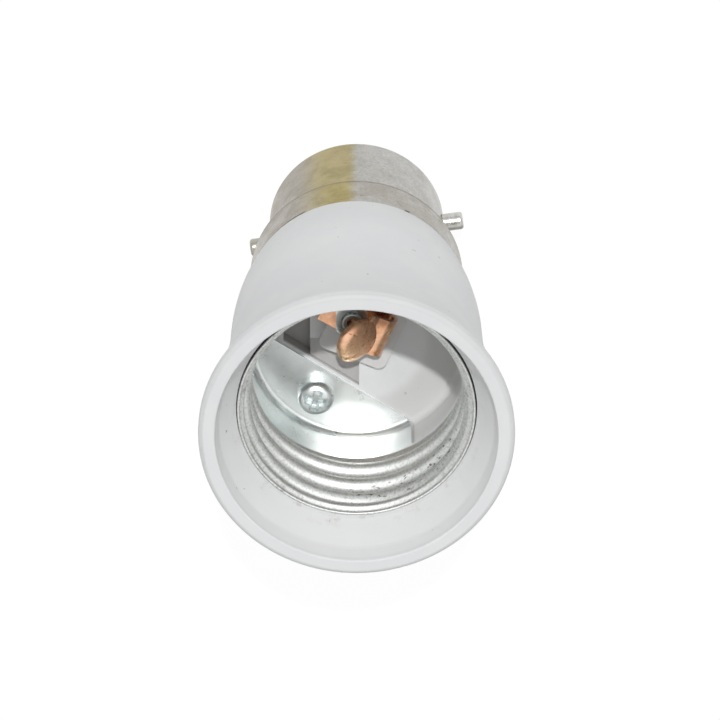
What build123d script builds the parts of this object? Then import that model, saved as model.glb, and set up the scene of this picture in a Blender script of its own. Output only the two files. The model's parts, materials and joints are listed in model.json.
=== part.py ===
from build123d import *
import os
from math import cos, pi, radians, sin, sqrt, tan

os.makedirs("parts", exist_ok=True)

# A lamp socket adapter that stands on its bayonet cap, with the screw socket's mouth up.
# Millimetres, +Z up; z = 0 is the plane of the contact tips, and the Z axis is the lamp's axis.
# The pieces inside the socket are drawn with the flange on the -Y side and turned together.

# Bayonet cap
cap_height = 27.7           # contact tips to the skirt's upper rim
barrel_r = 10.95
skirt_r = 13.0
skirt_height = 10.2         # from the ridge to the upper rim
cap_sheet = 0.3
barrel_round = 1.5          # rounding of the barrel's lower end
shoulder_round = 0.6        # bends between barrel and skirt
cap_lip = 2.55              # how far the barrel's lower end turns in
cap_lip_z = 1.1             # lower end of the metal above the contact tips
pin_r = 1.1
pin_reach = 2.5             # how far a pin stands out of the barrel
pin_shank_r = 0.8           # in the barrel's wall
pin_z = 5.4                 # pin axis above the contact tips
pin_head_r = 1.6
pin_head_height = 0.5
pin_turn = 8.2              # degrees from +X to the pins' line

# Cap contacts
insulator_face_z = 0.7
insulator_top_z = 3.6
contact_spread = 4.3        # contact centre from the axis
eyelet_flange_r = 2.6
eyelet_flange = 0.25
eyelet_r = 1.1
eyelet_stick_up = 0.5       # tube above the insulator's inner face
solder_r = 2.3
solder_tip_r = 1.4

# Moulded housing
housing_height = 34.6       # lower edge to rim
skirt_insert = 3.0          # how far the skirt goes up inside the collar
edge_r = 13.35
waist_r = 14.85
waist_height = 11.9         # waist above the lower edge
rim_r = 17.8
rim_band = 1.2              # straight band below the rim, rounding included
rim_round = 0.6
rim_ring = 1.85             # width of the rim's flat ring
recess_round = 0.2
recess_wall = 2.2           # depth of the steep wall inside the ring
recess_share = 0.2          # of the way in to the bore, at that wall's foot
recess_blend = 3.0          # rounding between that wall and the cone below it
neck_length = 8.0           # below the skirt's upper rim
neck_wall = 1.0
floor_thickness = 3.5
floor_round = 0.9           # between the socket's floor and its wall

# Screw shell
thread_pitch = 3.629
thread_major_r = 13.3       # inside the sheet, at the thread's root
thread_minor_r = 12.2       # inside the sheet, at the thread's crest
thread_turns = 2.8
thread_steps = 6            # sections of the shell in each turn
thread_fade = 0.5           # share of a turn over which the thread starts and ends
shell_sheet = 0.3
shell_depth = 6.6           # rim to the shell's mouth
shell_lip = 0.7             # plain lip above the thread
shell_tail = 0.8            # plain ring below the thread
seat_depth = 24.9           # rim to the flange's seat
chord_offset = 5.5          # axis to the flange's straight edge
flange_round = 0.8          # bend between band and flange

# Flange screw
screw_r = 1.25
screw_head_r = 2.2
screw_head_height = 2.1
screw_head_round = 1.0
screw_offset = 8.7          # axis to screw
cross_depth = 0.9
cross_width = 0.7
cross_length = 2.6
nut_width = 5.0
nut_height = 1.7

# Centre contact, drawn along +X
contact_sheet = 0.4
contact_turn = 10.5         # degrees from the flange's straight edge to the strip
base_left = 5.48            # base end, left of the axis
base_end_width = 3.0        # at that end
base_width = 4.9            # at the return bend
base_y = 2.64               # middle of the base, behind the axis
bend_x = 1.77               # centre of the return bend, right of the axis
bend_r = 0.85               # inside the return bend
tongue_run = 0.67           # where the tongue starts to rise, right of the axis
tongue_slope = 31.0
head_x = -0.7
head_y = 1.6
head_length = 4.2           # along the strip
head_width = 5.8

# Pedestal, channel and pocket in the socket's floor, which is also the flange's seat
seat_ledge = 0.4            # floor left beside the flange's straight edge
pedestal_height = 1.0
pedestal_front = 2.3
pedestal_back = 5.54
pedestal_left = 4.13
pedestal_right = 4.4
pedestal_corner = 1.0
channel_left = 5.5
channel_right = 0.3
channel_depth = 0.8
pocket_depth = 2.2
pocket_margin = 3.6         # from the floor's edge

# Contact rivet and its plate
rivet_x = -1.83
rivet_y = 2.79
rivet_r = 0.9
rivet_bore_r = 0.55
rivet_curl_r = 1.25
rivet_curl = 0.65
plate_turn = 23.3           # degrees from the strip to the plate's side
plate_width = 3.7
plate_thickness = 0.65
plate_corner = 0.9

# Terminal tags and leads
tag_thickness = 0.5
tag_width = 3.4
tag_tail = 4.2              # hole centre to the wire's place
wire_r = 0.5
wire_bend_r = 3.0
wire_drop = 5.5             # straight run below a tag

# Clearances
loose = 0.12                # between the housing and what is dropped into it
snug = 0.05                 # between a pin and its hole

inside_turn = 146.2         # degrees from the drawn place to the flange's real place

# Heights worked out from the sizes above
edge_z = cap_height - skirt_insert
rim_z = edge_z + housing_height
waist_z = edge_z + waist_height
band_z = rim_z - rim_band
mouth_z = rim_z - shell_depth
seat_z = rim_z - seat_depth
under_z = seat_z - floor_thickness
pedestal_z = seat_z + pedestal_height
ridge_z = cap_height - skirt_height
thread_top_z = mouth_z - shell_lip
thread_length = thread_turns * thread_pitch
thread_low_z = thread_top_z - thread_length
tail_z = thread_low_z - shell_tail
tag_z = under_z - tag_thickness
nut_z = tag_z - nut_height

# Radii and turns worked out from the sizes above
cap_lip_r = barrel_r - cap_lip
pin_tip_r = barrel_r + pin_reach
recess_r = rim_r - rim_ring
thread_mean_r = (thread_major_r + thread_minor_r) / 2
thread_offset = (thread_major_r - thread_minor_r) / 2
bore_r = thread_major_r + shell_sheet + loose
foot_r = recess_r - recess_share * (recess_r - bore_r)
lower_bore_r = thread_mean_r + shell_sheet + loose
collar_r = skirt_r + snug
neck_r = skirt_r - cap_sheet - snug
cavity_r = neck_r - neck_wall
channel_turn = contact_turn + plate_turn


def section(points):
    """A flat face through (radius, height) points, on the plane through the axis."""
    return Plane.XZ * make_face(Polyline(*points, close=True))


def drum(radius, low, high):
    """An upright cylinder on the axis between two heights."""
    return Pos(0, 0, low) * Cylinder(radius, high - low, align=(Align.CENTER, Align.CENTER, Align.MIN))


def block(x_low, x_high, y_low, y_high, low, high):
    """A box between two corners."""
    return Pos(x_low, y_low, low) * Box(x_high - x_low, y_high - y_low, high - low, align=Align.MIN)


def arc_radius(run, rise):
    """Radius of an arc that is upright at one end and has gone out by rise after run."""
    return (run**2 + rise**2) / (2 * rise)


def housing():
    """The moulded body: flared outside, socket bore above, floor, and a neck that fills the skirt."""
    neck_low = cap_height - neck_length
    groove_z = cap_height + loose
    shoulder = arc_radius(waist_height, waist_r - edge_r)
    flare = arc_radius(band_z - waist_z, rim_r - waist_r)
    outline = [
        Line((collar_r, edge_z), (edge_r, edge_z)),
        RadiusArc((edge_r, edge_z), (waist_r, waist_z), -shoulder),
        RadiusArc((waist_r, waist_z), (rim_r, band_z), flare),
        Line((rim_r, band_z), (rim_r, rim_z)),
        Polyline(
            (rim_r, rim_z),
            (recess_r, rim_z),
            (foot_r, rim_z - recess_wall),
            (bore_r, mouth_z),
            (bore_r, tail_z),
            (lower_bore_r, tail_z),
            (lower_bore_r, seat_z),
            (0, seat_z),
            (0, under_z),
            (cavity_r, under_z),
            (cavity_r, neck_low),
            (neck_r, neck_low),
            (neck_r, groove_z),
            (collar_r, groove_z),
            (collar_r, edge_z),
        ),
    ]
    face = make_face(outline)
    top = face.vertices().group_by(Axis.Y)[-1].sort_by(Axis.X)
    face = fillet(top[-1], rim_round)
    top = face.vertices().group_by(Axis.Y)[-1].sort_by(Axis.X)
    face = fillet(top[0], recess_round)
    foot = face.vertices().sort_by_distance((foot_r, rim_z - recess_wall))
    face = fillet(foot[0], recess_blend)
    corner = face.vertices().sort_by_distance((lower_bore_r, seat_z))
    face = fillet(corner[0], floor_round)
    body = revolve(Plane.XZ * face, Axis.Z)

    sunk_r = lower_bore_r - floor_round - pocket_margin
    pedestal = block(
        -pedestal_left, pedestal_right, -pedestal_front, pedestal_back, under_z, pedestal_z
    )
    pedestal = Rot(0, 0, contact_turn) * fillet(pedestal.edges().filter_by(Axis.Z), pedestal_corner)
    channel = block(-channel_left, channel_right, -sunk_r, 0, seat_z - channel_depth, seat_z)
    pocket = block(-sunk_r, -channel_left, -sunk_r, sunk_r, seat_z - pocket_depth, seat_z)
    sunk = Rot(0, 0, channel_turn) * (channel + pocket)
    sunk &= drum(sunk_r, under_z, seat_z)
    sunk &= block(-sunk_r, sunk_r, seat_ledge - chord_offset, sunk_r, under_z, seat_z)
    body = body - (sunk - pedestal) + pedestal
    body -= Pos(0, -screw_offset) * drum(screw_r + loose, under_z, seat_z)
    return body - Rot(0, 0, contact_turn) * Pos(rivet_x, rivet_y) * drum(
        rivet_r + loose, under_z, pedestal_z
    )


def fade(turn):
    """Share of the thread's full depth, from 0 at its ends to 1, at a number of turns from its end."""
    ends = min(turn, thread_turns - turn) / thread_fade
    return sin(min(ends, 1) * pi / 2)


def thread_core(radius):
    """Circles whose centre circles the axis once in each pitch, joined into a threaded core."""
    steps = round(thread_turns * thread_steps)
    rings = []
    for i in range(steps + 1):
        turn = thread_turns * i / steps
        shift = thread_offset * fade(turn)
        around = 2 * pi * turn
        place = Pos(shift * cos(around), shift * sin(around), thread_low_z + turn * thread_pitch)
        rings.append(place * Circle(radius))
    return loft(rings, ruled=True)


def shell_core(radius, band_low):
    """The threaded core with its flared lip above and its plain ring and band below."""
    lip_r = radius + thread_offset
    lip_low = mouth_z - shell_lip / 2
    lip = section(
        [(0, thread_top_z), (radius, thread_top_z), (lip_r, lip_low), (lip_r, mouth_z), (0, mouth_z)]
    )
    return revolve(lip, Axis.Z) + thread_core(radius) + drum(radius, band_low, thread_low_z)


def screw_shell():
    """Rolled sheet: a threaded ring, a band on one side and a half-moon flange with its screw hole."""
    outside = shell_core(thread_mean_r + shell_sheet, seat_z)
    bottom = outside.faces().sort_by(Axis.Z)[0]
    outside = fillet(bottom.edges(), flange_round + shell_sheet)
    inside = shell_core(thread_mean_r, seat_z + shell_sheet)
    bottom = inside.faces().sort_by(Axis.Z)[0]
    inside = fillet(bottom.edges(), flange_round)
    shell = outside - inside
    reach = thread_major_r + shell_sheet
    shell -= block(-reach, reach, -chord_offset, reach, seat_z, tail_z)
    return shell - Pos(0, -screw_offset) * drum(screw_r + loose, seat_z, tail_z)


def shell_screw():
    """Round-headed screw with a cross recess, from the flange down through the nut."""
    under_head = seat_z + shell_sheet
    head_top = under_head + screw_head_height
    head = drum(screw_head_r, under_head, head_top)
    head = fillet(head.edges().sort_by(Axis.Z)[-1], screw_head_round)
    for length, width in ((cross_length, cross_width), (cross_width, cross_length)):
        head -= block(-length / 2, length / 2, -width / 2, width / 2, head_top - cross_depth, head_top)
    return Pos(0, -screw_offset) * (head + drum(screw_r, nut_z - screw_r / 2, under_head))


def shell_nut():
    """Square nut under the shell's tag."""
    nut = block(-nut_width / 2, nut_width / 2, -nut_width / 2, nut_width / 2, nut_z, tag_z)
    nut = chamfer(nut.edges().group_by(Axis.Z)[0], nut_height / 8)
    return Pos(0, -screw_offset) * (nut - drum(screw_r + snug, nut_z, tag_z))


def tag(hole_r, direction):
    """Flat terminal tag: a slot-shaped plate with the fastener's hole at its origin."""
    plate = Pos(0, direction * tag_tail / 2) * Rot(0, 0, 90) * SlotCenterToCenter(tag_tail, tag_width)
    return extrude(Pos(0, 0, tag_z) * plate, tag_thickness) - drum(hole_r, tag_z, under_z)


def centre_contact():
    """Folded copper strip: a riveted base, a return bend and a rising tongue with an oval head."""
    base_low = pedestal_z
    base_high = base_low + contact_sheet
    outer_r = bend_r + contact_sheet
    bend_z = base_low + outer_r
    back_low = bend_z + bend_r
    back_high = back_low + contact_sheet
    base_plan = Polyline(
        (-base_left, base_y - base_end_width / 2),
        (bend_x, base_y - base_width / 2),
        (bend_x, base_y + base_width / 2),
        (-base_left, base_y + base_end_width / 2),
        close=True,
    )
    base = extrude(Pos(0, 0, base_low) * make_face(base_plan), contact_sheet)
    base -= Pos(rivet_x, rivet_y) * drum(rivet_r + snug, base_low, base_high)
    bend = Cylinder(outer_r, base_width) - Cylinder(bend_r, base_width)
    bend &= Pos(outer_r, 0) * Box(2 * outer_r, 2 * outer_r, base_width)
    bend = Pos(bend_x, base_y, bend_z) * Rot(90, 0, 0) * bend

    rise = radians(tongue_slope)
    tip_x = head_x - head_length / 2
    lift = (tongue_run - tip_x) * tan(rise)
    slant = contact_sheet * tan(rise / 2)
    profile = section(
        [
            (bend_x, back_low),
            (tongue_run, back_low),
            (tip_x, back_low + lift),
            (tip_x, back_high + lift),
            (tongue_run - slant, back_high),
            (bend_x, back_high),
        ]
    )
    wide = base_width + head_width
    tongue = Pos(0, base_y + wide / 2, 0) * extrude(profile, wide)
    root = Pos((bend_x + head_x) / 2, base_y) * Rectangle(bend_x - head_x, base_width)
    plan = Pos(head_x, head_y) * Ellipse(head_length / 2, head_width / 2) + root
    tongue &= extrude(Pos(0, 0, back_low) * plan, back_high + lift - back_low)
    return base + bend + tongue


def rivet_plate():
    """Square washer with rounded corners over the contact's base."""
    low = pedestal_z + contact_sheet
    outline = RectangleRounded(plate_width, plate_width, plate_corner)
    plate = extrude(Pos(0, 0, low) * outline, plate_thickness)
    hole = drum(rivet_r + snug, low, low + plate_thickness)
    return Pos(rivet_x, rivet_y) * Rot(0, 0, plate_turn) * (plate - hole)


def contact_rivet():
    """Tubular rivet, curled over the plate above and over the tag below."""
    top = pedestal_z + contact_sheet + plate_thickness
    tube = drum(rivet_r, tag_z - rivet_curl, top + rivet_curl)
    for low in (tag_z - rivet_curl, top):
        tube += drum(rivet_curl_r, low, low + rivet_curl)
    rims = [e for e in tube.edges().filter_by(GeomType.CIRCLE) if abs(e.radius - rivet_curl_r) < snug]
    rims = ShapeList(rims).sort_by(Axis.Z)
    tube = fillet([rims[0], rims[-1]], rivet_curl / 2)
    return Pos(rivet_x, rivet_y) * (tube - drum(rivet_bore_r, tag_z - rivet_curl, top + rivet_curl))


def lead(start, end):
    """Bare wire from the underside of a tag to the lower face of an eyelet."""
    eyelet_low = insulator_face_z - eyelet_flange
    line = FilletPolyline(
        (start[0], start[1], tag_z),
        (start[0], start[1], tag_z - wire_drop),
        (end[0], end[1], insulator_top_z + wire_drop),
        (end[0], end[1], eyelet_low),
        radius=wire_bend_r,
    )
    return sweep(Plane(line @ 0, z_dir=line % 0) * Circle(wire_r), line)


def bayonet_cap():
    """Drawn sheet: a curled lower lip, the barrel with its two pin holes, a shoulder and the skirt."""
    outside = [
        (cap_lip_r, cap_lip_z),
        (barrel_r, cap_lip_z),
        (barrel_r, ridge_z),
        (skirt_r, ridge_z),
        (skirt_r, cap_height),
    ]
    line = FilletPolyline(*outside, radius=[barrel_round, shoulder_round, shoulder_round])
    inner = offset(line, cap_sheet, side=Side.LEFT, closed=True)
    cap = revolve(Plane.XZ * make_face(inner), Axis.Z)
    return cap - pin_rod(pin_shank_r + snug, 0, barrel_r, True)


def pin_rod(radius, start, end, both=False):
    """A rod along X at the pins' height, from one radius to another, on one or both sides."""
    middle = 0 if both else (start + end) / 2
    length = 2 * end if both else end - start
    return Pos(middle, 0, pin_z) * Rot(0, 90, 0) * Cylinder(radius, length)


def bayonet_pin():
    """Pin on the barrel: a thinner shank through the wall, a head inside and a rounded tip."""
    wall_r = barrel_r - cap_sheet
    head_face = sqrt(wall_r**2 - pin_head_r**2)
    free = pin_rod(pin_r, barrel_r, pin_tip_r)
    free = fillet(free.edges().sort_by(Axis.X)[-1], pin_r / 3)
    head = pin_rod(pin_head_r, head_face - pin_head_height, head_face)
    return free + pin_rod(pin_shank_r, head_face, barrel_r) + head


def cap_insulator():
    """Pressed disc in the barrel's end, with a boss through the lip and a hole for each eyelet."""
    boss_r = cap_lip_r - snug
    disc_r = barrel_r - cap_sheet - snug
    seat = cap_lip_z + cap_sheet + snug
    body = drum(boss_r, insulator_face_z, insulator_top_z) + drum(
        disc_r - barrel_round, seat, insulator_top_z
    ) + drum(disc_r, cap_lip_z + barrel_round, insulator_top_z)
    body = chamfer(body.edges().sort_by(Axis.Z)[0], (cap_lip_z - insulator_face_z) / 2)
    for side in (-1, 1):
        body -= Pos(0, side * contact_spread) * drum(eyelet_r + snug, insulator_face_z, insulator_top_z)
    return body


def cap_contact():
    """Brass eyelet: a flange on the insulator's face and a tube through it."""
    low = insulator_face_z - eyelet_flange
    eyelet = drum(eyelet_flange_r, low, insulator_face_z) + drum(
        eyelet_r, insulator_face_z, insulator_top_z + eyelet_stick_up
    )
    return Pos(0, contact_spread) * (eyelet - drum(wire_r + snug, low, insulator_top_z + eyelet_stick_up))


def solder():
    """Low solder dome on the eyelet, worn flat at its tip."""
    base = insulator_face_z - eyelet_flange
    flat = (solder_r + solder_tip_r) / 2
    dome = section([(0, 0), (solder_tip_r, 0), (flat, base / 4), (solder_r, base), (0, base)])
    return Pos(0, contact_spread) * revolve(dome, Axis.Z)


def inside(shape):
    """A piece of the socket, turned to its real place."""
    return Rot(0, 0, inside_turn) * shape


def on_strip(shape):
    """A piece that goes with the centre contact, turned to its real place."""
    return inside(Rot(0, 0, contact_turn) * shape)


def cap_side(shape, half_turns):
    """A piece of the cap, turned to one of its two places."""
    return Rot(0, 0, pin_turn + 180 * half_turns) * shape


def eyelet_place(half_turns, turn):
    """Where an eyelet lies in a frame that is still to be turned."""
    angle = radians(pin_turn + 90 + 180 * half_turns - turn)
    return contact_spread * cos(angle), contact_spread * sin(angle)


pieces = {
    "housing": inside(housing()),
    "screw_shell": inside(screw_shell()),
    "shell_screw": inside(shell_screw()),
    "shell_nut": inside(shell_nut()),
    "shell_tag": inside(Pos(0, -screw_offset) * tag(screw_r + snug, 1)),
    "shell_lead": inside(lead((0, tag_tail - screw_offset), eyelet_place(0, inside_turn))),
    "centre_contact": on_strip(centre_contact()),
    "rivet_plate": on_strip(rivet_plate()),
    "contact_rivet": on_strip(contact_rivet()),
    "contact_tag": on_strip(Pos(rivet_x, rivet_y) * tag(rivet_r + snug, 1)),
    "contact_lead": on_strip(
        lead((rivet_x, rivet_y + tag_tail), eyelet_place(1, inside_turn + contact_turn))
    ),
    "bayonet_cap": cap_side(bayonet_cap(), 0),
    "bayonet_pin_left": cap_side(bayonet_pin(), 1),
    "bayonet_pin_right": cap_side(bayonet_pin(), 0),
    "cap_insulator": cap_side(cap_insulator(), 0),
    "shell_cap_contact": cap_side(cap_contact(), 0),
    "centre_cap_contact": cap_side(cap_contact(), 1),
    "shell_solder": cap_side(solder(), 0),
    "centre_solder": cap_side(solder(), 1),
}

for name, piece in pieces.items():
    export_step(piece, f"parts/{name}.step")
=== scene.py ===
import json
import math

import bmesh
import bpy
import numpy as np
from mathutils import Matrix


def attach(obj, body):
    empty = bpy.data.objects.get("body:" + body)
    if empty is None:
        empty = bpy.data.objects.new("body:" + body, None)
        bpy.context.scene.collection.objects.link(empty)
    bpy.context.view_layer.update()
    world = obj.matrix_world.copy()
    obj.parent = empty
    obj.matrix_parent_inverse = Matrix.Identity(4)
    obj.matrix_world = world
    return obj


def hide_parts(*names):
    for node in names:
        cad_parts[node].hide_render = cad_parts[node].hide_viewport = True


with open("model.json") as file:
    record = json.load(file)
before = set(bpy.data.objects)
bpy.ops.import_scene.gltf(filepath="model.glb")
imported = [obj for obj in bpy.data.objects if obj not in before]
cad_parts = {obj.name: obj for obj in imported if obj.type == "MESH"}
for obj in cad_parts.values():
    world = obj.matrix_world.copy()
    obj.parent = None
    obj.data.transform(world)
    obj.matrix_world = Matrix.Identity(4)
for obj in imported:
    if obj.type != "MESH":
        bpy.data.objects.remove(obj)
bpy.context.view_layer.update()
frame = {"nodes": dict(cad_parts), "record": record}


def reach(node, axis=2):
    """Lowest and highest place of a solid along an axis, which is the lamp's unless given, in millimetres."""
    item = frame["nodes"][node]
    corners = np.array(item.bound_box) @ np.array(item.matrix_world)[:3, :3].T
    places = 1000 * (corners[:, axis] + item.matrix_world.translation[axis])
    return float(places.min()), float(places.max())


# Sizes in millimetres: the solids' own reach, and the others as in the part's own source. The thread alone
# runs a little deeper than the solid's.
RIM_R = reach("housing", 0)[1]
RIM_Z = reach("housing")[1]
SEAT_Z, MOUTH_Z = reach("screw_shell")
PEDESTAL_Z = reach("centre_contact")[0]
SCREW_LOW_Z = reach("shell_screw")[0]
RIDGE_Z = reach("bayonet_cap")[1] - 10.2    # where the cap's barrel widens to its skirt
EDGE_Z = RIM_Z - 34.6       # the housing's lower edge, on the skirt
BORE_R = 13.72              # the housing's bore round the shell
PITCH = 3.629
THREAD_R = 12.75            # the sheet's inner face, midway between crest and root
THREAD_OFFSET = 0.55        # from there to a crest
THREAD_TURNS = 3.1
THREAD_PHASE = math.radians(72)
THREAD_FADE = 0.5           # turns in which the thread runs in and out
SHELL_SHEET = 0.3
SHELL_LIP = 0.7             # plain height above the thread
SHELL_TAIL = 0.3            # plain height below the thread
THREAD_TOP_Z = MOUTH_Z - SHELL_LIP
THREAD_LOW_Z = THREAD_TOP_Z - THREAD_TURNS * PITCH
CHORD = 5.5                 # from the axis to the flange's straight edge
FLANGE_ROUND = 0.8          # bend between band and flange, inside
SCREW_OFFSET = 8.7
SCREW_R = 1.25
SCREW_HEAD_R = 2.2
SCREW_HEAD_HEIGHT = 2.1
SCREW_TURN = math.radians(20)
CONTACT_SHEET = 0.4
INSIDE_TURN = math.radians(146.2)
CONTACT_TURN = math.radians(10.5)
PIN_TURN = math.radians(8.2)

# Places on the metal inside the socket: painted highlights, painted shade, a darker end of the band, tarnish
# with painted shade, and dark spots.
RIVET_PAINTED_SHADE = (0.58, -3.29, PEDESTAL_Z + 1)
FLANGE_PAINTED_HIGHLIGHT = (-1.5, 8.9, SEAT_Z + 0.5)
BAND_DARKER_END = (-6.5, 11.0, SEAT_Z + 3.6)
HEAD_PAINTED_HIGHLIGHT = (1.2, -0.3, PEDESTAL_Z + 3.3)
HEAD_TARNISH_AND_SHADE = (-1.4, -3.6, PEDESTAL_Z + 3.6)
HEAD_SPOTS = (-0.8, -2.8, PEDESTAL_Z + 3.6)
BEND_PAINTED_SHADE = (-3.2, -4.4, PEDESTAL_Z + 1.9)

# The camera that took the photograph, as fitted to the rim, the mouth and the cap.
PHOTO_PIXELS = 720
FOCAL_PIXELS = 3594.3
CENTRE_PIXELS = -3.43       # where the lens points, right of the picture's middle
CAMERA_TILT = math.radians(27.092)
CAMERA_DISTANCE = 420.0
CAMERA_AIM = 19.19          # depth of the point it looks at, below the rim


def about_axis(radius, angle, level):
    """Points from their distance from the Z axis, angle about it and height: x = r cos a, y = r sin a."""
    radius, angle, level = np.broadcast_arrays(radius, angle, level)
    return np.stack([radius * np.cos(angle), radius * np.sin(angle), level], -1)


def turned(points, angle):
    """Points turned about the Z axis: x' = x cos a - y sin a, y' = x sin a + y cos a."""
    c, s = math.cos(angle), math.sin(angle)
    x, y, z = points[..., 0], points[..., 1], points[..., 2]
    return np.stack([c * x - s * y, s * x + c * y, z], -1)


def grid_quads(rows, cols, wrap_rows, wrap_cols):
    """Four corners for each cell of a grid; a wrapped side joins its last line to its first."""
    i, j = np.meshgrid(
        np.arange(rows if wrap_rows else rows - 1), np.arange(cols if wrap_cols else cols - 1), indexing="ij"
    )
    up, along = (i + 1) % rows, (j + 1) % cols
    return np.stack([i * cols + j, up * cols + j, up * cols + along, i * cols + along], -1).reshape(-1, 4)


def add_object(name, data):
    """A new object in the scene, at the origin."""
    item = bpy.data.objects.new(name, data)
    bpy.context.scene.collection.objects.link(item)
    return item


def make_piece(name, grids, material, node, crease):
    """One closed piece from grids of points in millimetres: points that meet are merged, faces look out, and
    edges sharper than the crease, in degrees, stay sharp."""
    points, quads, start = [], [], 0
    for grid, wrap_rows, wrap_cols in grids:
        rows, cols = grid.shape[:2]
        points.append(grid.reshape(-1, 3) / 1000)
        quads.append(grid_quads(rows, cols, wrap_rows, wrap_cols) + start)
        start += rows * cols
    mesh = bpy.data.meshes.new(name)
    mesh.from_pydata(np.concatenate(points), [], np.concatenate(quads).tolist())
    joined = bmesh.new()
    joined.from_mesh(mesh)
    bmesh.ops.remove_doubles(joined, verts=joined.verts, dist=2e-6)
    bmesh.ops.dissolve_degenerate(joined, edges=joined.edges, dist=1e-7)
    bmesh.ops.recalc_face_normals(joined, faces=joined.faces)
    joined.to_mesh(mesh)
    joined.free()
    mesh.shade_smooth()
    mesh.set_sharp_from_angle(angle=math.radians(crease))
    mesh.materials.append(material)
    piece = add_object(name, mesh)
    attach(piece, "root")
    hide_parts(node)


def feed(tree, socket, value):
    """Sets a socket from another socket, a colour or a number."""
    if isinstance(value, bpy.types.NodeSocket):
        tree.links.new(value, socket)
    else:
        socket.default_value = value


def add_node(tree, kind, inputs, **settings):
    """A new node with its settings, its inputs fed from sockets, colours or numbers."""
    node = tree.nodes.new("ShaderNode" + kind)
    for name, value in settings.items():
        setattr(node, name, value)
    for socket, value in inputs.items():
        feed(tree, node.inputs[socket], value)
    return node


def worked(tree, operation, a, b=0.0, clamp=False):
    """The result of one sum on two sockets or numbers."""
    return add_node(tree, "Math", {0: a, 1: b}, operation=operation, use_clamp=clamp).outputs[0]


class Finish:
    """A node material around one Principled shader, with short calls for the nodes that shape its look.
    Places, heights and patch sizes are in millimetres of the adapter's own frame."""

    def __init__(self, name, roughness, metallic=0.0):
        self.material = bpy.data.materials.new(name)
        self.material.use_nodes = True
        self.tree = self.material.node_tree
        self.shader = self.tree.nodes["Principled BSDF"]
        self.set("Roughness", roughness)
        self.set("Metallic", metallic)
        metres = add_node(self.tree, "TexCoord", {}).outputs["Object"]
        scale = add_node(self.tree, "VectorMath", {0: metres, "Scale": 1000.0}, operation="SCALE")
        self.place = scale.outputs[0]

    def set(self, socket, value):
        """Feeds one of the shader's own sockets."""
        feed(self.tree, self.shader.inputs[socket], value)

    def calc(self, operation, a, b=0.0):
        """One sum on two sockets or numbers, or on the first alone."""
        return worked(self.tree, operation, a, b)

    def product(self, *shares):
        """Several shares multiplied together."""
        result = shares[0]
        for share in shares[1:]:
            result = self.calc("MULTIPLY", result, share)
        return result

    def total(self, *shares):
        """Several shares added up, to 1 at most."""
        result = shares[0]
        for share in shares[1:]:
            result = worked(self.tree, "ADD", result, share, True)
        return result

    def polar(self):
        """Distance from the lamp's axis, angle about it and height."""
        x, y, z = add_node(self.tree, "SeparateXYZ", {0: self.place}).outputs
        square = self.calc("ADD", self.product(x, x), self.product(y, y))
        return self.calc("SQRT", square), self.calc("ARCTAN2", y, x), z

    def unrolled(self, angle, height, radius, stretch):
        """A place on the drum of a radius laid flat, stretched around and along the axis."""
        around, along = stretch
        flat = {0: self.product(angle, radius / around), 1: self.product(height, 1 / along)}
        return add_node(self.tree, "CombineXYZ", flat).outputs[0]

    def cloud(self, size, detail=3.0, rough=0.55, vector=None, warp=0.0):
        """Soft random patches from 0 to 1."""
        inputs = {"Scale": 1 / size, "Detail": detail, "Roughness": rough, "Distortion": warp}
        return add_node(self.tree, "TexNoise", {"Vector": vector or self.place, **inputs}).outputs["Fac"]

    def step(self, value, low, high, start=0.0, end=1.0):
        """A smooth step of a value from start, below low, to end, above high."""
        inputs = {"Value": value, "From Min": low, "From Max": high, "To Min": start, "To Max": end}
        return add_node(self.tree, "MapRange", inputs, interpolation_type="SMOOTHSTEP").outputs["Result"]

    def fall(self, value, low, high):
        """A share that is 1 below low and 0 above high."""
        return self.step(value, low, high, 1.0, 0.0)

    def between(self, value, low, high, soft):
        """A share that is 1 between two values and fades out past them."""
        return self.product(self.step(value, low - soft, low), self.fall(value, high, high + soft))

    def near(self, point, inner, outer):
        """A share that is 1 within the inner distance of a point and 0 beyond the outer one."""
        node = add_node(self.tree, "VectorMath", {0: self.place, 1: point}, operation="DISTANCE")
        return self.fall(node.outputs["Value"], inner, outer)

    def mix(self, share, a, b):
        """Colour a where the share is 0, colour b where it is 1."""
        return add_node(self.tree, "Mix", {"Factor": share, 6: a, 7: b}, data_type="RGBA").outputs[2]

    def over(self, tone, share, strength, shade):
        """A colour with a shade laid over it where the share is 1, at a strength."""
        return self.mix(self.product(share, strength), tone, shade)

    def bump(self, height, strength, depth=0.2):
        """A fine relief in the light only, as deep as given where the height goes from 0 to 1."""
        inputs = {"Height": height, "Strength": strength, "Distance": depth / 1000}
        self.set("Normal", add_node(self.tree, "Bump", inputs).outputs["Normal"])


def colour(red, green, blue):
    """A colour given as it looks on a screen, 0 to 255, as the shader's linear values."""
    screen = np.array([red, green, blue]) / 255
    linear = np.where(screen <= 0.04045, screen / 12.92, ((screen + 0.055) / 1.055) ** 2.4)
    return (*linear.tolist(), 1.0)


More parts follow.
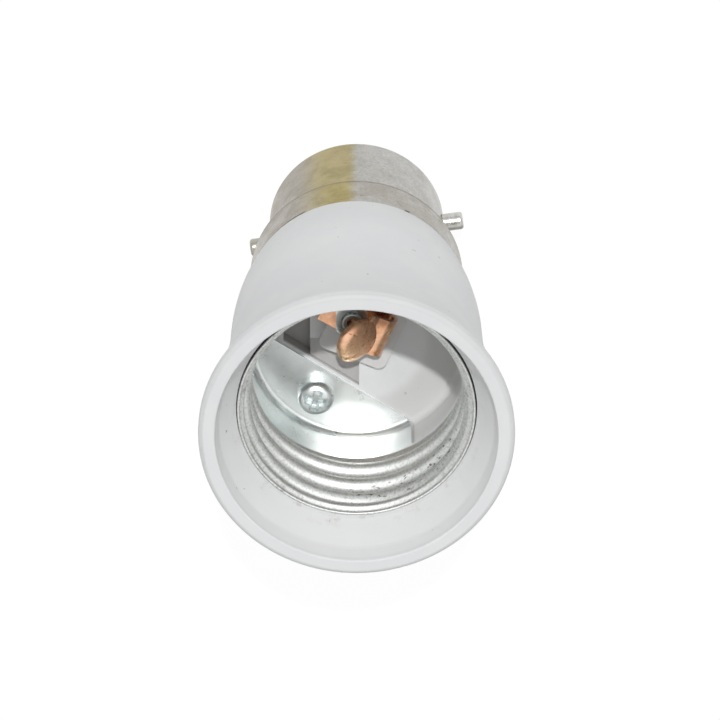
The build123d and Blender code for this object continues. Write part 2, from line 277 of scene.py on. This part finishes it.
def moulded_plastic():
    """Satin off-white plastic: faintly cloudy, with rare brown specks and grime on the cone near the mouth.
    Painted light makes the cone paler; painted shade greys the rim's edge, darkens the pedestal's top a little,
    darkens the sunk floor and the foot of the wall, and makes the slot round the shell near-black."""
    f = Finish("moulded_plastic", 0.6)
    radius, _, height = f.polar()
    tone = f.mix(f.step(f.cloud(6, 4), 0.35, 0.7), colour(230, 231, 232), colour(233, 234, 234))
    # Painted shade: the rim's outer rounding is greyer, which dims its highlight.
    edge = f.product(f.step(radius, RIM_R - 0.7, RIM_R - 0.4), f.step(height, RIM_Z - 0.7, RIM_Z - 0.4))
    tone = f.over(tone, edge, 0.5, colour(208, 209, 209))
    # Painted light: the cone is paler.
    cone = f.product(
        f.between(radius, BORE_R + 0.2, RIM_R - 1.9, 0.2), f.between(height, MOUTH_Z - 0.3, RIM_Z - 0.7, 0.4)
    )
    tone = f.over(tone, cone, 0.6, colour(243, 244, 244))
    speck = f.step(f.cloud(0.9, 2, 0.4), 0.74, 0.79)
    tone = f.over(tone, speck, 0.55, colour(136, 116, 92))
    by_mouth = f.product(f.fall(radius, BORE_R, BORE_R + 1.2), f.step(height, MOUTH_Z - 1, MOUTH_Z))
    dirt_and_shade = f.product(by_mouth, f.step(f.cloud(1.6, 5, 0.7), 0.52, 0.72))
    tone = f.over(tone, dirt_and_shade, 0.3, colour(150, 134, 112))
    inside = f.product(
        f.fall(radius, BORE_R - 0.3, BORE_R - 0.2), f.step(height, SEAT_Z - 2.7, SEAT_Z - 2.5)
    )
    # Painted shade: the pedestal's top is a little darker.
    pedestal = f.between(height, SEAT_Z + 0.5, SEAT_Z + 1.2, 0.2)
    tone = f.over(tone, f.product(inside, pedestal), 0.6, colour(218, 217, 216))
    # Painted shade along the foot of the wall.
    foot = f.product(f.step(radius, BORE_R - 6.12, BORE_R - 4.32), f.fall(height, SEAT_Z + 3, SEAT_Z + 7))
    tone = f.over(tone, f.product(inside, foot), 0.55, colour(204, 203, 201))
    # Painted shade in the sunk floor.
    sunk = f.fall(height, SEAT_Z - 0.5, SEAT_Z - 0.3)
    tone = f.over(tone, f.product(inside, sunk), 0.9, colour(188, 186, 184))
    # Painted shade: the slot round the shell is near-black.
    slot = f.product(
        f.between(radius, BORE_R - 0.1, BORE_R + 0.1, 0.1), f.between(height, SEAT_Z, MOUTH_Z - 0.4, 0.25)
    )
    f.set("Base Color", f.mix(slot, tone, colour(26, 23, 22)))
    f.set("Roughness", f.step(f.cloud(2.4, 5, 0.6), 0.3, 0.7, 0.56, 0.64))
    f.set("Specular IOR Level", 0.3)
    f.bump(f.cloud(1.4, 4, 0.6), 0.04)
    return f.material


def rolled_aluminium():
    """Thin aluminium sheet, smooth on the band and satin and grainy on the thread, with a painted highlight on
    the flange and darker at one end of the band, with grime towards the mouth and a few dark scrapes round the
    thread on one side."""
    f = Finish("rolled_aluminium", 0.3, 1.0)
    _, angle, height = f.polar()
    cloud = f.cloud(1.6, 4, 0.6)
    thread = f.step(height, THREAD_LOW_Z - 0.5, THREAD_LOW_Z + 1)
    grain = f.step(f.cloud(0.28, 3, 0.7), 0.42, 0.68)
    grime = f.product(f.cloud(2.4, 6, 0.7, warp=0.4), f.cloud(7.7, 3, 0.6))
    grime = f.product(f.step(grime, 0.3, 0.42), f.step(height, MOUTH_Z - 11, MOUTH_Z - 5))
    round_thread = f.unrolled(angle, height, THREAD_R, (2.0, 0.8))
    scraped_from, scraped_to = math.radians(89), math.radians(152)
    scrape = f.product(
        f.step(f.cloud(0.5, 3, 0.6, round_thread), 0.58, 0.66),
        f.between(angle, scraped_from, scraped_to, 0.15),
        f.between(height, MOUTH_Z - 4.8, MOUTH_Z - 1.6, 0.5),
    )
    tone = f.mix(f.step(cloud, 0.3, 0.7), colour(229, 233, 232), colour(237, 241, 240))
    # Painted highlight on the flange.
    tone = f.over(tone, f.near(FLANGE_PAINTED_HIGHLIGHT, 3.0, 6.5), 0.9, colour(253, 255, 254))
    tone = f.over(tone, thread, 0.8, colour(219, 220, 218))
    tone = f.over(tone, f.product(thread, grain), 0.5, colour(166, 165, 162))
    # The band is darker towards one end.
    tone = f.over(tone, f.near(BAND_DARKER_END, 0.5, 4.5), 0.6, colour(186, 188, 187))
    tone = f.over(tone, grime, 0.5, colour(122, 118, 108))
    f.set("Base Color", f.over(tone, scrape, 0.8, colour(70, 66, 60)))
    rubbed = f.product(f.calc("MAXIMUM", grime, scrape), 0.2)
    f.set("Roughness", f.total(f.step(cloud, 0.3, 0.7, 0.27, 0.32), f.product(thread, 0.27), rubbed))
    f.bump(f.cloud(0.5, 3, 0.6), 0.04)
    return f.material


def zinc_steel():
    """Bright zinc plate with a cool tint, a little clouded, with dark specks, and painted shade on the plate
    round the rivet.
    """
    f = Finish("zinc_steel", 0.25, 1.0)
    cloud = f.cloud(1.4, 5, 0.6)
    tone = f.mix(f.step(cloud, 0.35, 0.7), colour(232, 239, 239), colour(247, 251, 250))
    # Painted shade on the plate round the rivet.
    tone = f.over(tone, f.near(RIVET_PAINTED_SHADE, 1.7, 2.3), 0.8, colour(126, 130, 128))
    speck = f.step(f.cloud(0.38, 3, 0.5), 0.66, 0.74)
    f.set("Base Color", f.over(tone, speck, 0.5, colour(96, 98, 96)))
    f.set("Roughness", f.step(cloud, 0.3, 0.75, 0.26, 0.38))
    f.bump(cloud, 0.08)
    return f.material


def contact_copper():
    """Copper: orange metal with a painted highlight at one end of the head, brown tarnish in patches, brown over
    the head's other end that is tarnish and painted shade together, painted shade on the bend, and small dark
    spots, more of them on the brown end."""
    f = Finish("contact_copper", 0.3, 1.0)
    patch = f.cloud(3, 5, 0.65, warp=0.6)
    # Brown: tarnish in random patches, and over the head's far end tarnish and painted shade together.
    brown = f.total(f.product(f.step(patch, 0.46, 0.66), 0.45), f.product(f.near(HEAD_TARNISH_AND_SHADE, 0.8, 2.8), 0.42))
    crowd = f.product(f.near(HEAD_SPOTS, 1.0, 3.2), 0.06)
    spot = f.step(f.total(f.cloud(0.5, 3, 0.5), crowd), 0.66, 0.72)
    tone = f.mix(f.step(f.cloud(1.1, 4), 0.3, 0.7), colour(232, 175, 136), colour(244, 197, 162))
    # Painted highlight at one end of the head.
    tone = f.over(tone, f.near(HEAD_PAINTED_HIGHLIGHT, 1.0, 2.6), 0.85, colour(255, 213, 172))
    tone = f.over(tone, brown, 0.8, colour(156, 108, 78))
    # Painted shade on the bend.
    tone = f.over(tone, f.near(BEND_PAINTED_SHADE, 0.8, 1.9), 0.75, colour(112, 74, 54))
    f.set("Base Color", f.over(tone, spot, 0.45, colour(98, 60, 38)))
    f.set("Roughness", f.step(patch, 0.4, 0.7, 0.26, 0.46))
    f.bump(f.cloud(0.77, 4, 0.6), 0.1)
    return f.material


def nickel_plate():
    """Nickel on brass: grey metal with fine specks, browner to one side and on the scuffed skirt, with a painted
    reflection, a brassy stripe that has a clean edge on one side and fades out on the other, a dark line along
    the ridge and broken thin marks of painted shade along the collar."""
    f = Finish("nickel_plate", 0.3, 1.0)
    radius, angle, height = f.polar()

    def by_height(barrel, skirt):
        """One number on the barrel and another on the skirt, with a soft change at the ridge."""
        return f.step(height, RIDGE_Z - 0.4, RIDGE_Z + 0.2, barrel, skirt)

    stain = f.cloud(3.2, 6, 0.7, warp=0.5)
    fine = f.cloud(0.4, 4, 0.7)
    across = f.product(radius, f.calc("COSINE", angle))
    tone = f.mix(f.step(fine, 0.3, 0.7), colour(176, 175, 171), colour(196, 195, 191))
    brown = f.total(
        f.product(f.step(stain, 0.36, 0.64), by_height(0.2, 0.3)),
        f.product(f.step(across, 2.2, 5.4), by_height(0.55, 0.22)),
        by_height(0.0, 0.15),
    )
    tone = f.mix(brown, tone, colour(150, 139, 121))
    speck = f.step(f.cloud(0.28, 2, 0.5), 0.62, 0.7)
    tone = f.over(tone, speck, 0.4, colour(108, 96, 84))
    scuff = f.step(f.cloud(1.0, 4, 0.6, warp=1.4), 0.65, 0.7)
    tone = f.over(tone, scuff, by_height(0.0, 0.6), colour(98, 86, 76))
    # Angles from the front, in radians, place the stripe of painted reflection and the marks of painted shade
    # along the collar.
    from_front = f.calc("ADD", angle, math.pi / 2)
    wavy = f.calc("ADD", from_front, f.product(f.calc("SUBTRACT", stain, 0.5), 0.12))
    fading = f.calc("ADD", wavy, by_height(0.0, 0.12))
    # Painted reflection: a brassy stripe, clean on one side and fading out on the other.
    stripe = f.product(f.step(wavy, -0.02, 0.1), f.fall(fading, 0.34, 0.76))
    brass = f.mix(f.step(stain, 0.4, 0.65), colour(174, 159, 100), colour(160, 145, 88))
    tone = f.over(tone, stripe, by_height(0.84, 0.94), brass)
    ridge = f.between(height, RIDGE_Z + 0.2, RIDGE_Z + 0.8, 0.2)
    tone = f.over(tone, ridge, 0.5, colour(112, 103, 88))
    # Painted shade: broken thin dark marks along the collar.
    lines = f.total(
        f.between(from_front, 0.52, 0.74, 0.05),
        f.between(from_front, 0.8, 0.88, 0.02),
        f.between(from_front, -0.5, -0.47, 0.02),
    )
    dirt_and_shade = f.product(lines, f.between(height, EDGE_Z - 1.25, EDGE_Z - 0.8, 0.1))
    f.set("Base Color", f.over(tone, dirt_and_shade, 0.85, colour(66, 60, 54)))
    f.set("Roughness", f.step(stain, 0.3, 0.7, 0.28, 0.42))
    f.bump(fine, 0.05)
    return f.material


def pin_nickel():
    """Nickel pins, marked all over, one of them yellower, both with painted shade along the same side."""
    f = Finish("pin_nickel", 0.25, 1.0)
    radius, angle, _ = f.polar()
    marks = f.cloud(0.5, 3, 0.6)
    tone = f.mix(f.step(marks, 0.3, 0.7), colour(190, 189, 184), colour(216, 215, 211))
    yellow = f.step(f.product(radius, f.calc("COSINE", angle)), -1, 1)
    tone = f.over(tone, yellow, 0.7, colour(166, 163, 148))
    # Painted shade along the same side of both pins.
    side = f.product(radius, f.calc("SINE", f.calc("SUBTRACT", angle, PIN_TURN)))
    f.set("Base Color", f.over(tone, f.step(side, 0.1, 0.7), 0.8, colour(120, 116, 106)))
    f.set("Roughness", f.step(marks, 0.3, 0.7, 0.24, 0.34))
    return f.material


def tag_brass():
    """Stamped brass with dull patches."""
    f = Finish("tag_brass", 0.3, 1.0)
    dull = f.cloud(2, 5, 0.6)
    f.set("Base Color", f.mix(f.step(dull, 0.35, 0.7), colour(214, 186, 110), colour(178, 146, 84)))
    f.set("Roughness", f.step(dull, 0.3, 0.7, 0.24, 0.45))
    return f.material


def copper_wire():
    """Bare copper wire, a little browned in places."""
    f = Finish("copper_wire", 0.3, 1.0)
    brown = f.cloud(1.7, 4, 0.6)
    f.set("Base Color", f.mix(f.step(brown, 0.35, 0.7), colour(222, 150, 104), colour(158, 96, 66)))
    f.set("Roughness", f.step(brown, 0.3, 0.7, 0.22, 0.42))
    return f.material


def black_insulator():
    """Pressed dark resin: near-black with grey flecks and a fine moulded grain."""
    f = Finish("black_insulator", 0.42)
    fleck = f.step(f.cloud(0.45, 3, 0.5), 0.62, 0.72)
    f.set("Base Color", f.over(colour(34, 32, 31), fleck, 0.3, colour(92, 86, 80)))
    f.set("Roughness", f.step(f.cloud(1.7, 4), 0.3, 0.7, 0.36, 0.52))
    f.bump(f.cloud(0.67, 4, 0.6), 0.12)
    return f.material


def solder():
    """Dull tin solder, worn bright where it has rubbed."""
    f = Finish("solder", 0.4, 1.0)
    rub = f.cloud(1.2, 5, 0.65)
    f.set("Base Color", f.mix(f.step(rub, 0.35, 0.65), colour(172, 172, 168), colour(214, 214, 210)))
    f.set("Roughness", f.step(rub, 0.3, 0.7, 0.5, 0.28))
    f.bump(rub, 0.15)
    return f.material


finishes = {
    "white_plastic": moulded_plastic(),
    "rolled_aluminium": rolled_aluminium(),
    "zinc_steel": zinc_steel(),
    "tag_brass": tag_brass(),
    "copper_wire": copper_wire(),
    "contact_copper": contact_copper(),
    "nickel_plate": nickel_plate(),
    "pin_nickel": pin_nickel(),
    "black_insulator": black_insulator(),
    "solder": solder(),
}
for subpart in frame["record"]["subparts"]:
    node = frame["nodes"][subpart["node"]]
    node.data.materials.clear()
    node.data.materials.append(finishes[subpart["material_slot"]])


def thread_form(phase):
    """Rounded thread: how far the sheet lies outside its mean radius, for a phase of 2 pi a pitch. Equal arcs
    of radius ((pitch / 4)^2 + offset^2) / (2 offset) make crest and root and meet at the mean radius."""
    along = np.abs((phase + np.pi) % (2 * np.pi) - np.pi) / (2 * np.pi) * PITCH
    from_top = np.minimum(along, PITCH / 2 - along)
    arc = ((PITCH / 4) ** 2 + THREAD_OFFSET**2) / (2 * THREAD_OFFSET)
    out = THREAD_OFFSET - arc + np.sqrt(arc**2 - from_top**2)
    return np.where(along < PITCH / 4, out, -out)


def shell_ring():
    """The threaded ring. Its radius is the mean radius plus the thread's form times a sine fade at both ends,
    with the phase angle - 2 pi height / pitch, from the top, which is a right-hand thread. The lip flares out
    to the thread's full width, by a smooth step. The ring is a little out of round: its lip lies over to one
    side, by sin(angle), is pressed in at two places, by the fourth power and the square of the cosine of the
    angle from them, and is let out evenly. The profile runs up inside, over the round lip and down outside."""
    lean, left_dent, right_dent, evenly_out = 0.1, 0.2, 0.12, 0.05
    left_angle, right_angle = math.radians(120), math.radians(45)
    around = np.linspace(0, 2 * np.pi, 256, endpoint=False)
    lip_centre = MOUTH_Z - SHELL_SHEET / 2
    height = np.concatenate(
        [
            np.linspace(THREAD_LOW_Z - SHELL_TAIL, THREAD_LOW_Z, 6)[:-1],
            np.linspace(THREAD_LOW_Z, THREAD_TOP_Z, 161)[:-1],
            np.linspace(THREAD_TOP_Z, lip_centre, 10),
        ]
    )
    turn = np.clip((height - THREAD_LOW_Z) / PITCH, 0, THREAD_TURNS)
    fade = np.sin(np.clip(np.minimum(turn, THREAD_TURNS - turn) / THREAD_FADE, 0, 1) * np.pi / 2)
    wave = thread_form(around + THREAD_PHASE - 2 * np.pi * (turn[:, None] - THREAD_TURNS))
    flare = np.clip((height - THREAD_TOP_Z + SHELL_LIP / 3) / SHELL_LIP, 0, 1)
    flare = THREAD_OFFSET * flare * flare * (3 - 2 * flare)
    facing = around + INSIDE_TURN - np.pi
    left = np.clip(np.cos(facing - left_angle), 0, None) ** 4
    right = np.clip(np.cos(facing - right_angle), 0, None) ** 2
    pressed = np.clip(lean * np.sin(facing) + left_dent * left + right_dent * right - evenly_out, -lean, None)
    upper = np.clip((height - THREAD_TOP_Z + 2 * SHELL_LIP) / (3 * SHELL_LIP), 0, 1)
    inner = THREAD_R + flare[:, None] + fade[:, None] * wave - upper[:, None] * pressed
    curl = np.linspace(np.pi, 0, 9)[1:-1]
    lip_r = inner[-1] + SHELL_SHEET / 2 * (1 + np.cos(curl[:, None]))
    lip_z = lip_centre + SHELL_SHEET / 2 * np.sin(curl)
    radius = np.concatenate([inner, lip_r, inner[::-3] + SHELL_SHEET, inner[:1] + SHELL_SHEET])
    level = np.concatenate([height, lip_z, height[::-3], height[:1]])
    return turned(about_axis(radius, around, level[:, None]), INSIDE_TURN), True, True


def shell_band_and_flange():
    """The band below the ring and its half-moon flange: a path down the band, round the bend and in along
    the flange, each of its points drawn out along an arc about the axis that ends on the flange's straight
    edge, at the angle acos(edge distance / radius) on both sides. The two faces' paths make a closed loop."""
    bend = np.linspace(0, np.pi / 2, 9)
    across = np.linspace(-1, 1, 97)
    inward = np.linspace(0, 1, 40)
    turn_r = THREAD_R - FLANGE_ROUND
    turn_z = SEAT_Z + SHELL_SHEET + FLANGE_ROUND
    down = np.linspace(THREAD_LOW_Z - SHELL_TAIL, turn_z, 7)[:-1]
    flat = turn_r + (CHORD - turn_r) * inward[1:]

    def face(out):
        """Radius and height along the path on one face of the sheet, out millimetres outside its inner face."""
        r = FLANGE_ROUND + out
        radius = np.concatenate([np.full(len(down), THREAD_R + out), turn_r + r * np.cos(bend), flat])
        level = np.concatenate([down, turn_z - r * np.sin(bend), np.full(len(flat), turn_z - r)])
        return np.stack([radius, level])

    inner, outer = face(0.0), face(SHELL_SHEET)
    radius, level = np.concatenate([inner, outer[:, ::-1]], 1)[..., None]
    angle = -np.pi / 2 + across * np.arccos(np.clip(CHORD / radius, -1, 1))
    sheet = turned(about_axis(radius, angle, level), INSIDE_TURN)
    half = inner.shape[1]
    ends = [np.stack([sheet[:half, side], sheet[half:, side][::-1]], 1) for side in (0, -1)]
    return [(sheet, True, False)] + [(end, False, False) for end in ends]


def flange_screw():
    """A profile turned round the screw's axis: rounded head, flat underside, plain shank. Within the blades
    of a cross the head's top is sunk, deepest in the middle and running out along each arm."""
    edge, crown_drop = 1.0, 0.1
    blade_half, blade_side, arm_reach, arm_run, sunk = 0.55, 0.25, 1.7, 0.8, 0.8
    around = np.linspace(0, 2 * np.pi, 144, endpoint=False)
    crown = np.linspace(0, 1, 40)
    lip = np.linspace(0, np.pi / 2, 9)[1:]
    under = SEAT_Z + SHELL_SHEET
    top = under + SCREW_HEAD_HEIGHT
    flat_r = SCREW_HEAD_R - edge
    radius = np.concatenate([flat_r * crown, flat_r + edge * np.sin(lip), [SCREW_HEAD_R, SCREW_R, SCREW_R, 0]])
    level = np.concatenate(
        [
            top - crown_drop * crown**2,
            top - crown_drop - edge * (1 - np.cos(lip)),
            [under, under, SCREW_LOW_Z, SCREW_LOW_Z],
        ]
    )
    screw = about_axis(radius[:, None], around, level[:, None])
    x, y = np.abs(screw[..., 0]), np.abs(screw[..., 1])
    blade = np.clip((blade_half - np.minimum(x, y)) / blade_side, 0, 1)
    arm = np.clip((arm_reach - np.maximum(x, y)) / arm_run, 0, 1)
    on_top = (np.arange(len(radius)) < len(crown))[:, None]
    screw[..., 2] -= sunk * blade * arm * on_top
    return turned(turned(screw, SCREW_TURN) - np.array([0, SCREW_OFFSET, 0]), INSIDE_TURN), False, True


def folded_contact():
    """A strip carried along its folded path: base, half-round return bend, short run and rising tongue. Its
    two edges follow the base's taper, then the root's sides or an oval head, whichever lies further out. The
    head is domed by 1 minus the fourth power of the distance from its centre, in half lengths. A loop round
    the sheet's section closes it, and both ends are drawn together onto the sheet's middle."""
    base_end, end_half, base_half, base_y = -5.48, 1.5, 2.45, 2.64
    bend_x, bend_mid = 1.77, 1.05
    head_x, head_y, half_long, half_wide = -0.7, 1.6, 2.1, 2.9
    tongue_run, slope, crease_soft = 0.67, math.tan(math.radians(31)), 0.3
    root_run, dome, tip_share = 0.5, 0.8, 0.25
    low = PEDESTAL_Z + CONTACT_SHEET / 2
    tip_x = head_x - half_long
    base_x = np.linspace(base_end, bend_x, 40)
    fold = np.linspace(-np.pi / 2, np.pi / 2, 25)[1:-1]
    to_tip = 1 - tip_share * (1 - np.linspace(0, 1, 30)) ** 2
    spread = np.concatenate([np.linspace(0, 1 - tip_share, 46)[:-1], to_tip])
    back_x = bend_x + (tip_x - bend_x) * spread
    run = tongue_run - back_x
    rise = slope * 0.5 * (run + np.sqrt(run**2 + crease_soft**2))
    path_x = np.concatenate([base_x, bend_x + bend_mid * np.cos(fold), back_x])
    path_z = low + np.concatenate(
        [np.zeros(len(base_x)), bend_mid * (1 + np.sin(fold)), 2 * bend_mid + rise - rise[0]]
    )
    half_base = end_half + (base_half - end_half) * (base_x - base_end) / (bend_x - base_end)
    oval = half_wide * np.sqrt(np.clip(1 - ((back_x - head_x) / half_long) ** 2, 0, None))
    root = base_half * np.clip((back_x - head_x) / root_run, 0, 1)
    near = np.where(back_x > head_x, np.minimum(head_y - oval, base_y - root), head_y - oval)
    far = np.where(back_x > head_x, np.maximum(head_y + oval, base_y + root), head_y + oval)
    edge_near = np.concatenate([base_y - half_base, np.full(len(fold), base_y - base_half), near])
    edge_far = np.concatenate([base_y + half_base, np.full(len(fold), base_y + base_half), far])
    share = (1 - np.cos(np.linspace(0, np.pi, 41))) / 2
    x = np.repeat(path_x[:, None], len(share), 1)
    y = edge_near[:, None] + (edge_far - edge_near)[:, None] * share
    off = ((x - head_x) / half_long) ** 2 + ((y - head_y) / half_wide) ** 2
    on_back = (np.arange(len(path_x)) >= len(base_x) + len(fold))[:, None]
    z = path_z[:, None] + on_back * dome * np.clip(1 - off**2, 0, None)
    middle = np.stack([x, y, z], -1)
    normal = np.cross(np.gradient(middle, axis=0), np.array([0.0, 1.0, 0.0]))
    normal = normal / np.maximum(np.linalg.norm(normal, axis=-1, keepdims=True), 1e-9)
    upper = middle - normal * CONTACT_SHEET / 2
    lower = middle + normal * CONTACT_SHEET / 2
    strip = np.concatenate([upper, lower[:, ::-1]], 1)
    closed = np.concatenate([middle, middle[:, ::-1]], 1)
    strip = np.concatenate([closed[:1], strip, closed[-1:]])
    return turned(strip, INSIDE_TURN + CONTACT_TURN), False, True


for name, grids, slot, node, crease in (
    ("threaded_shell", [shell_ring()] + shell_band_and_flange(), "rolled_aluminium", "screw_shell", 35),
    ("flange_screw", [flange_screw()], "zinc_steel", "shell_screw", 35),
    ("folded_contact", [folded_contact()], "contact_copper", "centre_contact", 50),
):
    make_piece(name, grids, finishes[slot], node, crease)


def seen_by_lens_or_metal(tree):
    """A share that is 1 for rays from the lens, from a mirror-like surface or through glass."""
    rays = add_node(tree, "LightPath", {}).outputs
    lens_or_gloss = worked(tree, "MAXIMUM", rays["Is Camera Ray"], rays["Is Glossy Ray"])
    return worked(tree, "MAXIMUM", lens_or_gloss, rays["Is Transmission Ray"])


def show_blend(tree, output, share, plain, seen):
    """Sends two shaders to an output, blended by a share from the plain one to the seen one."""
    blend = add_node(tree, "MixShader", {0: share, 1: plain.outputs[0], 2: seen.outputs[0]})
    feed(tree, tree.nodes[output].inputs["Surface"], blend.outputs[0])


def pale_floor():
    """A large pale floor just under the contact tips, nearly white to the lens, that keeps soft shadows."""
    out, level = 1.5, -0.0002
    mesh = bpy.data.meshes.new("floor")
    mesh.from_pydata(
        [(-out, -out, level), (out, -out, level), (out, out, level), (-out, out, level)], [], [(0, 1, 2, 3)]
    )
    pale = bpy.data.materials.new("pale_floor")
    pale.use_nodes = True
    tree = pale.node_tree
    paint = tree.nodes["Principled BSDF"]
    feed(tree, paint.inputs["Base Color"], (0.7, 0.7, 0.7, 1))
    feed(tree, paint.inputs["Roughness"], 0.9)
    white = add_node(tree, "Emission", {"Strength": 1.06})
    show_blend(tree, "Material Output", worked(tree, "MULTIPLY", seen_by_lens_or_metal(tree), 0.9), paint, white)
    mesh.materials.append(pale)
    floor = add_object("floor", mesh)


def white_room(fill_strength, side_strength, room_strength):
    """Soft fill for dull surfaces, stronger from both sides, by the square of x; white behind the adapter for
    the lens; and for the metal a room that is white overhead and greyer towards the floor. The strengths of
    fill and room are given at the horizon and overhead."""
    world = bpy.data.worlds.new("white_room")
    bpy.context.scene.world = world
    world.use_nodes = True
    tree = world.node_tree
    x, _, z = add_node(tree, "SeparateXYZ", {0: add_node(tree, "TexCoord", {}).outputs["Generated"]}).outputs

    def dome(low, high):
        """A strength that goes from low at the horizon to high overhead."""
        inputs = {"Value": z, "From Min": 0.0, "From Max": 1.0, "To Min": low, "To Max": high}
        return add_node(tree, "MapRange", inputs).outputs["Result"]

    sides = worked(tree, "MULTIPLY", worked(tree, "MULTIPLY", x, x), side_strength)
    lens = add_node(tree, "LightPath", {}).outputs["Is Camera Ray"]
    fill, room = tree.nodes["Background"], add_node(tree, "Background", {})
    for shader, strength in (
        (fill, worked(tree, "ADD", dome(*fill_strength), sides)),
        (room, worked(tree, "MAXIMUM", dome(*room_strength), lens)),
    ):
        feed(tree, shader.inputs["Color"], (1, 1, 1, 1))
        feed(tree, shader.inputs["Strength"], strength)
    show_blend(tree, "World Output", seen_by_lens_or_metal(tree), fill, room)


def aim(item, axes, place):
    """Puts an object at a place, in metres, with its X, Y and Z axes along three directions."""
    columns = np.eye(4)
    columns[:3, :3], columns[3, :3] = axes, place
    item.matrix_world = columns


def key_light(towards, strength, size):
    """A distant key lamp in a direction from the adapter, with an angular size in degrees."""
    lamp = bpy.data.lights.new("key", "SUN")
    lamp.energy = strength
    lamp.angle = math.radians(size)
    z = np.array(towards) / np.linalg.norm(towards)
    x = np.cross([0, 0, 1.0], z)
    x = x / np.linalg.norm(x)
    aim(add_object("key", lamp), (x, np.cross(z, x), z), z)


def photo_camera():
    """The photograph's camera. It looks into the mouth from the -Y side, with the cap end up."""
    lens = bpy.data.cameras.new("camera")
    lens.sensor_width = 36.0
    lens.lens = lens.sensor_width * FOCAL_PIXELS / PHOTO_PIXELS
    lens.shift_x = -CENTRE_PIXELS / PHOTO_PIXELS
    lens.clip_start = 0.01
    camera = add_object("camera", lens)
    s, c = math.sin(CAMERA_TILT), math.cos(CAMERA_TILT)
    back = np.array([0, -s, c])
    place = (np.array([0, 0, RIM_Z - CAMERA_AIM]) + CAMERA_DISTANCE * back) / 1000
    aim(camera, ((-1, 0, 0), (0, -c, -s), back), place)
    bpy.context.scene.camera = camera


bpy.context.scene.view_settings.view_transform = "Standard"
pale_floor()
white_room(fill_strength=(0.22, 0.39), side_strength=0.44, room_strength=(0.6, 1.1))
key_light(towards=(-0.016, -0.571, 0.821), strength=1.82, size=1.5)
photo_camera()
